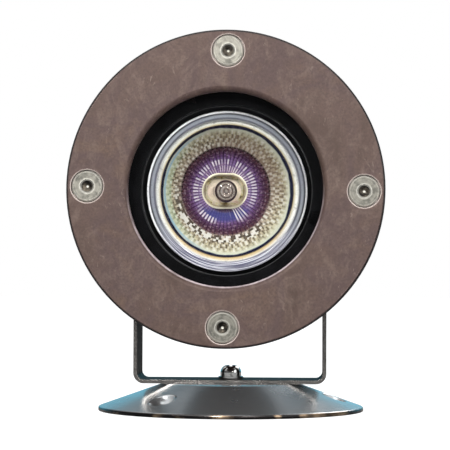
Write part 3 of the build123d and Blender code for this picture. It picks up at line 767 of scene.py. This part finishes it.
def neck_glass(s):
    """Golden-cream lip and wall of the lamp's oval neck, with dark olive streaks in the glass; the
    wall's golden and brown patches are partly painted reflections, and the lip's cream band is a
    painted highlight.
    """
    place = s.place()
    x, y, z = s.split(place)
    # The patches are partly the glass's golden-cream colour and partly painted reflections.
    patches = s.noise(place, 420.0, 4.0, 0.6, 0.6)
    colour = s.ramp(
        patches,
        (0.36, (0.30, 0.20, 0.06)),
        (0.44, (0.88, 0.74, 0.42)),
        (0.56, (1.00, 0.95, 0.76)),
        (0.66, (0.80, 0.60, 0.50)),
    )
    streaks = s.noise(s.stretched(place, 380.0, 380.0, 90.0), 1.0, 4.0, 0.65, 0.4)
    colour = s.mix(s.between(streaks, 0.56, 0.64, 0.0, 0.9), colour, (0.06, 0.05, 0.02))
    across = s.clamped(s.math("ABSOLUTE", x), 5.9 * MM, 6.3 * MM)
    middle = s.clamped(s.math("ABSOLUTE", y), 2.4 * MM, 1.4 * MM)
    colour = s.mix(s.times(across, middle, 0.8), colour, (0.12, 0.10, 0.025))
    # Painted highlight: a cream band on the front of the lip.
    lip = s.clamped(z, (lip_front() + 0.9) * MM, (lip_front() + 0.3) * MM)
    colour = s.mix(s.times(lip, 0.85), colour, (1.00, 0.97, 0.76))
    normal = s.bump(patches, 0.2 * MM, 0.5)
    s.surface(base_color=colour, metallic=0.2, roughness=0.16, normal=normal, coat_weight=0.5)


# ---------------------------------------- rubber, ceramic, plastic


def black_rubber(s):
    """Moulded black rubber with a dusty, very fine grain."""
    place = s.place()
    grain = s.noise(place, 2200.0, 2.0, 0.6)
    dust = s.noise(place, 130.0, 5.0, 0.65)
    colour = s.mix(s.clamped(dust, 0.42, 0.75), (0.0022, 0.0022, 0.0025), (0.006, 0.006, 0.007))
    roughness = s.between(dust, 0.3, 0.7, 0.55, 0.7)
    normal = s.bump(grain, 0.004 * MM, 0.4)
    s.surface(base_color=colour, roughness=roughness, specular_ior_level=0.02, normal=normal)


def lamp_ceramic(s):
    """Cream cement and ceramic at the bottom of the lamp."""
    place = s.place()
    grain = s.noise(place, 1300.0, 4.0, 0.65)
    patches = s.noise(place, 300.0, 3.0, 0.6)
    colour = s.mix(s.clamped(patches, 0.35, 0.68), (0.92, 0.82, 0.66), (0.84, 0.66, 0.56))
    colour = s.mix(s.between(grain, 0.48, 0.7, 0.0, 0.4), colour, (0.52, 0.38, 0.27))
    normal = s.bump(grain, 0.08 * MM, 0.6)
    s.surface(base_color=colour, roughness=0.55, normal=normal)


def holder_ceramic(s):
    """White steatite of the lampholder, slightly grainy."""
    place = s.place()
    grain = s.noise(place, 1600.0, 3.0, 0.6)
    stain = s.noise(place, 120.0, 4.0, 0.6)
    colour = s.mix(s.clamped(stain, 0.42, 0.72), (0.78, 0.76, 0.70), (0.66, 0.61, 0.52))
    normal = s.bump(grain, 0.03 * MM, 0.5)
    s.surface(base_color=colour, roughness=0.42, normal=normal)


def white_sleeve(s):
    """Glass-fibre sleeve of the leads, with a braided weave."""
    x, y, z = s.split(s.place())
    one_way = s.math("SINE", s.times(s.math("ADD", x, z), 9000.0))
    other_way = s.math("SINE", s.times(s.math("SUBTRACT", y, z), 9000.0))
    weave = s.times(one_way, other_way)
    colour = s.mix(s.clamped(weave, -1.0, 1.0), (0.62, 0.59, 0.52), (0.82, 0.80, 0.75))
    normal = s.bump(weave, 0.05 * MM, 0.6)
    s.surface(base_color=colour, roughness=0.7, normal=normal)


def white_nylon(s):
    """Natural nylon washers, a little translucent and yellowed."""
    place = s.place()
    clouds = s.noise(place, 220.0, 4.0, 0.6)
    colour = s.mix(s.clamped(clouds, 0.35, 0.7), (0.80, 0.79, 0.74), (0.70, 0.66, 0.55))
    normal = s.bump(clouds, 0.03 * MM, 0.3)
    s.surface(base_color=colour, roughness=0.38, normal=normal)


SLOT_MATERIALS = {
    "weathered_brass": weathered_brass,
    "stainless_brushed": brushed_stainless,
    "stainless_polished": polished_stainless,
    "clear_glass": clear_glass,
    "quartz": quartz,
    "tungsten": tungsten,
    "black_rubber": black_rubber,
    "lamp_ceramic": lamp_ceramic,
    "holder_ceramic": holder_ceramic,
    "plated_pins": plated_pins,
    "plain_brass": plain_brass,
    "zinc_steel": zinc_steel,
    "white_sleeve": white_sleeve,
    "tinned_copper": tinned_copper,
    "white_nylon": white_nylon,
}


def steel_for(node):
    """Turned steel whose tool marks run round this node's own axis."""
    if node == "face_screws":
        return face_screw_steel
    if node.startswith("pivot"):
        return pivot_steel
    return base_fastener_steel


def look_of(node, slot):
    """The material function of a CAD node; None for the reflector, which build_lamp() replaces."""
    if slot == "stainless_turned":
        return steel_for(node)
    if node == "lamp_front_glass":
        return lamp_cover_glass
    return SLOT_MATERIALS.get(slot)


def dress_cad_nodes():
    """Gives every CAD node the material of its slot in the record."""
    made = {}
    for subpart in frame["record"]["subparts"]:
        node = subpart["node"]
        build = look_of(node, subpart["material_slot"])
        if build is None:
            continue
        if build not in made:
            made[build] = material(build.__name__, build)
        mesh = frame["nodes"][node].data
        mesh.materials.clear()
        mesh.materials.append(made[build])


# ---------------------------------------- places from the frame


def centre(node):
    low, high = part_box(node)
    return (low + high) / 2


def half_width(node):
    low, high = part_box(node)
    return (high.x - low.x) / 2


def lamp_frame():
    """The lamp's own frame: its front plane's middle, x right, y down, z back along its axis."""
    axis = (centre("lampholder") - centre("lamp_front_glass")).normalized()
    across = (Vector((1, 0, 0)) - axis * axis.x).normalized()
    down = axis.cross(across)
    turn = Matrix((across, down, axis)).transposed().to_4x4()
    origin = centre("lamp_front_glass") - axis * GLASS_MIDDLE * MM
    return Matrix.Translation(origin) @ turn


# ---------------------------------------- lamp


def bowl_depth(radius):
    """Depth of the bowl's inside at a radius."""
    return SEAT_DEPTH + (MOUTH_R**2 - radius**2) / PARABOLA


def lip_front():
    """Depth of the front of the neck's lip."""
    return bowl_depth(NECK[0] / 2) - 0.35


def slot_radius(size, angle):
    """Distance from the middle to the edge of a slot shape, in a direction."""
    end_r = size[1] / 2
    half = size[0] / 2 - end_r
    along = abs(math.cos(angle))
    aside = abs(math.sin(angle))
    if aside * half >= along * end_r:
        return end_r / aside
    return half * along + math.sqrt(end_r**2 - (half * aside) ** 2)


def slot_at(size, grown):
    """The edge of a slot shape, grown all round, as a function of the direction."""
    wide = (size[0] + 2 * grown, size[1] + 2 * grown)
    return lambda angle: slot_radius(wide, angle)


def spread(start, end, steps):
    """Numbers evenly spaced from start to end, both of them included."""
    return [start + (end - start) * step / steps for step in range(steps + 1)]


def arc(radius_middle, depth_middle, size, start, end, steps):
    """Points (radius, depth) on an arc, in degrees from start to end; 0 is outwards, 90 back."""
    angles = [math.radians(angle) for angle in spread(start, end, steps)]
    return [
        (radius_middle + size * math.cos(angle), depth_middle + size * math.sin(angle))
        for angle in angles
    ]


def smooth_piece(name, vertices, faces, sharp):
    """A smooth-shaded piece whose edges over an angle in degrees stay sharp."""
    mesh = bpy.data.meshes.new(name)
    mesh.from_pydata(vertices, [], faces)
    mesh.shade_smooth()
    mesh.set_sharp_from_angle(angle=math.radians(sharp))
    made = bpy.data.objects.new(name, mesh)
    bpy.context.scene.collection.objects.link(made)
    return made


def closed_shell(name, sections, around, sharp=30.0):
    """A closed mesh through ring-shaped sections, the last joined to the first.

    A section is a function that gives (radius, depth) in millimetres for an angle."""
    vertices = []
    for section in sections:
        for column in range(around):
            angle = math.tau * column / around
            radius, depth = section(angle)
            x = radius * math.cos(angle)
            y = radius * math.sin(angle)
            vertices.append((x * MM, y * MM, depth * MM))
    faces = []
    count = len(sections)
    for row in range(count):
        this_row = row * around
        next_row = ((row + 1) % count) * around
        for column in range(around):
            after = (column + 1) % around
            faces.append((this_row + column, this_row + after, next_row + after, next_row + column))
    return smooth_piece(name, vertices, faces, sharp)


def plain_section(radius, depth):
    """A round section."""
    return lambda angle: (radius, depth)


def slot_section(size, depth, grown=0.0):
    """A slot-shaped section, grown all round."""
    outline = slot_at(size, grown)
    return lambda angle: (outline(angle), depth)


def rim_sections():
    """Pressed-glass body of the lamp: grooved rim, glass seat, outside of the bowl, collar."""
    profile = [(MOUTH_R + 0.1, 2.4), (MOUTH_R + 0.1, 1.85), (MOUTH_R + 0.35, SEAT_DEPTH)]
    profile += [(SEAT_R - 0.1, SEAT_DEPTH), (SEAT_R, SEAT_DEPTH - 0.1), (SEAT_R, RIM_ROUNDING)]
    profile += arc(SEAT_R + RIM_ROUNDING, RIM_ROUNDING, RIM_ROUNDING, 180, 270, 4)
    profile += [(GROOVE_R - 0.2, 0.0), (GROOVE_R - 0.1, GROOVE_DEPTH)]
    profile += [(GROOVE_R + 0.1, GROOVE_DEPTH), (GROOVE_R + 0.2, 0.0)]
    profile += arc(RIM_R - RIM_ROUNDING, RIM_ROUNDING, RIM_ROUNDING, 270, 360, 5)
    back_start = RIM_BACK - RIM_BACK_ROUNDING
    profile += [(RIM_R, back_start)]
    profile += arc(RIM_R - RIM_BACK_ROUNDING, back_start, RIM_BACK_ROUNDING, 0, 90, 5)
    profile += [(MOUTH_R + 2.0, RIM_BACK)]
    waist_r = 9.6
    for radius in spread(22.0, waist_r, BODY_STEPS):
        profile.append((radius, max(bowl_depth(radius) + BODY_OUTSIDE, RIM_BACK + 0.05)))
    sections = [plain_section(radius, depth) for radius, depth in profile]
    sections += [slot_section(COLLAR, bowl_depth(waist_r) + BODY_WAIST)]
    sections += [slot_section(COLLAR, COLLAR_END - 0.4), slot_section(COLLAR, COLLAR_END, -0.4)]
    sections += [slot_section(NECK, COLLAR_END, 0.25)]
    sections += [slot_section(NECK, bowl_depth(NECK[0] / 2) + 1.2, 0.25)]
    for radius in spread(8.6, MOUTH_R - 0.4, BODY_STEPS):
        sections.append(plain_section(radius, bowl_depth(radius) + BODY_INSIDE))
    return sections


def cushion(angle, radius):
    """Height of the relief on the bowl: rows of small cushions outside, long flutes inside."""
    wave = FACETS / 2
    if radius >= ZONE_R:
        row = (MOUTH_R - radius) / (MOUTH_R - ZONE_R) * FACET_ROWS
        index = min(int(row), FACET_ROWS - 1)
        shift = math.pi / 2 * (index % 2)
        across = abs(math.sin(wave * angle + shift))
        along = math.sin(math.pi * (row - index))
        return CUSHION_RELIEF * across * (0.35 + 0.65 * along)
    share = (ZONE_R - radius) / (ZONE_R - NECK[0] / 2)
    at_zone, at_neck = FLUTE_RELIEF
    return (at_zone + (at_neck - at_zone) * share) * abs(math.sin(wave * angle))


def facet_sections():
    """Coated inside of the bowl: facets and flutes in front, a smooth face behind."""

    def relief(radius, angle):
        return radius, bowl_depth(radius) - cushion(angle, radius)

    outer = MOUTH_R - 0.15
    first_flute = ZONE_R - 0.02
    inner = slot_at(NECK, 0.35)
    sections = []
    for radius in spread(outer, ZONE_R, FACET_ROWS * ROW_STEPS):
        sections.append(lambda angle, radius=radius: relief(radius, angle))
    for share in spread(0.0, 1.0, FLUTE_STEPS)[1:]:

        def flutes(angle, share=share):
            return relief(first_flute + (inner(angle) - first_flute) * share, angle)

        sections.append(flutes)
    for share in (1.0, 0.5, 0.0):

        def behind(angle, share=share):
            radius = outer + (inner(angle) - outer) * share
            return radius, bowl_depth(radius) + COATED_BACK

        sections.append(behind)
    return sections


def neck_sections():
    """Rounded lip of the oval neck, its wall down to the ceramic, and the wall's outside."""
    front = lip_front()
    outline = []
    for step in range(LIP_STEPS + 1):
        angle = math.pi * step / LIP_STEPS
        outline.append((front + 0.35 - 0.35 * math.sin(angle), 0.15 + 0.32 * math.cos(angle)))
    outline += [(front + 1.4, -0.42), (STUB_FACE - 1.2, -0.62), (STUB_FACE - 0.35, -1.0)]
    outline += [(STUB_FACE - 0.05, -1.6), (STUB_FACE - 0.02, 0.18), (front + 1.0, 0.22)]
    return [slot_section(NECK, depth, grown) for depth, grown in outline]


def tube_along(points, radius):
    """Vertices and faces of a round tube along points in millimetres, closed at both ends."""
    sides = 8
    path = [Vector(point) for point in points]
    vertices = []
    faces = []
    side = None
    for index, point in enumerate(path):
        ahead = path[min(index + 1, len(path) - 1)] - path[max(index - 1, 0)]
        ahead.normalize()
        if side is None:
            side = ahead.orthogonal().normalized()
        side = (side - ahead * side.dot(ahead)).normalized()
        other = ahead.cross(side)
        for turn in range(sides):
            angle = math.tau * turn / sides
            spoke = side * math.cos(angle) + other * math.sin(angle)
            vertices.append((point + spoke * radius) * MM)
    for index in range(len(path) - 1):
        for turn in range(sides):
            after = (turn + 1) % sides
            start = index * sides
            faces.append((start + turn, start + after, start + sides + after, start + sides + turn))
    last = (len(path) - 1) * sides
    faces.append(tuple(reversed(range(sides))))
    faces.append(tuple(range(last, last + sides)))
    return vertices, faces


def filament():
    """A coiled wire on the lamp's axis, hung between two supports."""
    steps = COIL_TURNS * 20
    coil = [(-SUPPORT_X, 0.0, COIL_START)]
    for step in range(steps + 1):
        angle = math.tau * COIL_TURNS * step / steps + math.pi
        depth = COIL_START + (COIL_END - COIL_START) * step / steps
        coil.append((COIL_R * math.cos(angle), COIL_R * math.sin(angle), depth))
    coil.append((SUPPORT_X, 0.0, COIL_END))
    supports = [
        [(-SUPPORT_X, 0.0, COIL_START - 0.15), (-SUPPORT_X, 0.0, SUPPORT_END)],
        [(SUPPORT_X, 0.0, COIL_END - 0.15), (SUPPORT_X, 0.0, SUPPORT_END)],
    ]
    vertices = []
    faces = []
    for points, radius in ((coil, COIL_WIRE_R), (supports[0], SUPPORT_R), (supports[1], SUPPORT_R)):
        more_vertices, more_faces = tube_along(points, radius)
        start = len(vertices)
        vertices += more_vertices
        faces += [tuple(start + index for index in face) for face in more_faces]
    return smooth_piece("filament_coil", vertices, faces, 50.0)


def build_lamp():
    """The lamp's detailed pieces, each riding on the head in place of its CAD solid."""
    rim = closed_shell("lamp_rim", rim_sections(), 128)
    facets = closed_shell("lamp_facets", facet_sections(), FACETS * FACET_STEPS, 12.0)
    neck = closed_shell("lamp_neck", neck_sections(), 96)
    pieces = (
        (rim, pressed_glass, "dichroic_glass", "lamp_reflector"),
        (facets, dichroic_coating, "dichroic_glass", "lamp_reflector"),
        (neck, neck_glass, "dichroic_glass", "lamp_reflector"),
        (filament(), tungsten, "tungsten", "lamp_filament"),
    )
    place = lamp_frame()
    for piece, build, slot, node in pieces:
        piece.matrix_world = place
        piece.data.materials.append(material(piece.name, build))
        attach(piece, "head")
        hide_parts(node)


# ---------------------------------------- stage, light and camera


def floor_paint(s):
    """White paper, lit almost evenly for the camera, that lights the object a softer grey."""
    paper = s.noise(s.place(), 3.0, 4.0, 0.5)
    colour = s.mix(s.clamped(paper, 0.3, 0.7), (0.27, 0.275, 0.28), (0.25, 0.255, 0.26))
    matt = s.node("BsdfDiffuse", {"Color": colour}).outputs[0]
    lit = s.node("Emission", {"Color": (1.0, 1.0, 1.0), "Strength": FLOOR_GLOW}).outputs[0]
    glowing = s.node("AddShader", {0: matt, 1: lit}).outputs[0]
    seen = s.node("LightPath").outputs["Is Camera Ray"]
    s.finish(s.node("MixShader", {0: seen, 1: matt, 2: glowing}).outputs[0])


def build_floor():
    half = FLOOR_SIZE / 2
    mesh = bpy.data.meshes.new("floor")
    mesh.from_pydata(
        [(-half, -half, 0), (half, -half, 0), (half, half, 0), (-half, half, 0)], [], [(0, 1, 2, 3)]
    )
    floor = bpy.data.objects.new("floor", mesh)
    floor.data.materials.append(material("floor_paint", floor_paint))
    bpy.context.scene.collection.objects.link(floor)


def build_world():
    """Studio surroundings, white to the camera.

    The object sees white overhead, dark grey low in front, and blue-green low behind."""
    world = bpy.data.worlds.new("studio")
    world.use_nodes = True
    bpy.context.scene.world = world
    s = Shader(world.node_tree, "ShaderNodeOutputWorld")
    direction = s.node("TexCoord").outputs["Generated"]
    _, y, z = s.split(direction)
    behind = s.ramp(
        s.clamped(z, -0.1, 1.0),
        (0.10, (0.012, 0.02, 0.024)),
        (0.145, (0.17, 0.62, 0.82)),
        (0.34, (0.18, 0.52, 0.68)),
        (0.44, (0.17, 0.23, 0.26)),
        (0.66, (0.22, 0.24, 0.26)),
        (0.84, (0.42, 0.42, 0.42)),
        (0.95, (1.00, 1.00, 1.00)),
    )
    before = s.ramp(
        s.clamped(z, -0.1, 1.0),
        (0.09, (0.06, 0.06, 0.065)),
        (0.30, (0.12, 0.12, 0.125)),
        (0.50, (0.45, 0.45, 0.45)),
        (0.80, (1.00, 1.00, 1.00)),
    )
    surround = s.mix(s.clamped(y, 0.45, 0.75), before, behind)
    seen = s.node("LightPath").outputs["Is Camera Ray"]
    colour = s.mix(seen, surround, (1.0, 1.0, 1.0))
    s.finish(s.node("Background", {"Color": colour, "Strength": 1.0}).outputs[0])


def add_light(name, place, size, energy, colour):
    """A soft square lamp that points at the middle of the object."""
    light = bpy.data.lights.new(name, "AREA")
    light.size = size
    light.energy = energy
    light.color = colour
    made = bpy.data.objects.new(name, light)
    target = (cad_box[0] + cad_box[1]) / 2
    made.location = place
    made.rotation_euler = (target - Vector(place)).to_track_quat("-Z", "Y").to_euler()
    bpy.context.scene.collection.objects.link(made)


def build_lights():
    white = (1.0, 1.0, 1.0)
    warm = (1.0, 0.99, 0.97)
    cool = (0.97, 0.98, 1.0)
    add_light("key", (-0.75, -0.85, 0.95), 0.55, 6.5, warm)
    add_light("fill", (0.95, -0.75, 0.45), 0.6, 4.0, cool)
    add_light("top", (0.0, -0.15, 1.3), 0.7, 3.5, white)
    add_light("back", (0.6, 1.0, 0.85), 0.5, 4.0, white)
    add_light("front_left", (-0.24, -1.1, 0.42), 0.22, 9.5, warm)
    add_light("front_right", (0.36, -1.1, 0.40), 0.22, 7.5, warm)


def build_camera():
    data = bpy.data.cameras.new("camera")
    data.lens = CAMERA_LENS
    data.clip_start = 0.01
    data.clip_end = 50.0
    camera = bpy.data.objects.new("camera", data)
    turn = Matrix.Rotation(math.radians(CAMERA_TURN), 4, "Z")
    pitch = Matrix.Rotation(math.radians(90 + CAMERA_PITCH), 4, "X")
    roll = Matrix.Rotation(math.radians(CAMERA_ROLL), 4, "Z")
    camera.matrix_world = Matrix.Translation(CAMERA_PLACE) @ turn @ pitch @ roll
    bpy.context.scene.collection.objects.link(camera)
    bpy.context.scene.camera = camera


pivot_height = centre("face_ring").z
ring_middle = centre("face_ring").y
ring_radius = half_width("face_ring")
base_radius = half_width("base_plate")

dress_cad_nodes()
build_lamp()
build_floor()
build_world()
build_lights()
build_camera()
bpy.context.scene.view_settings.view_transform = "Standard"
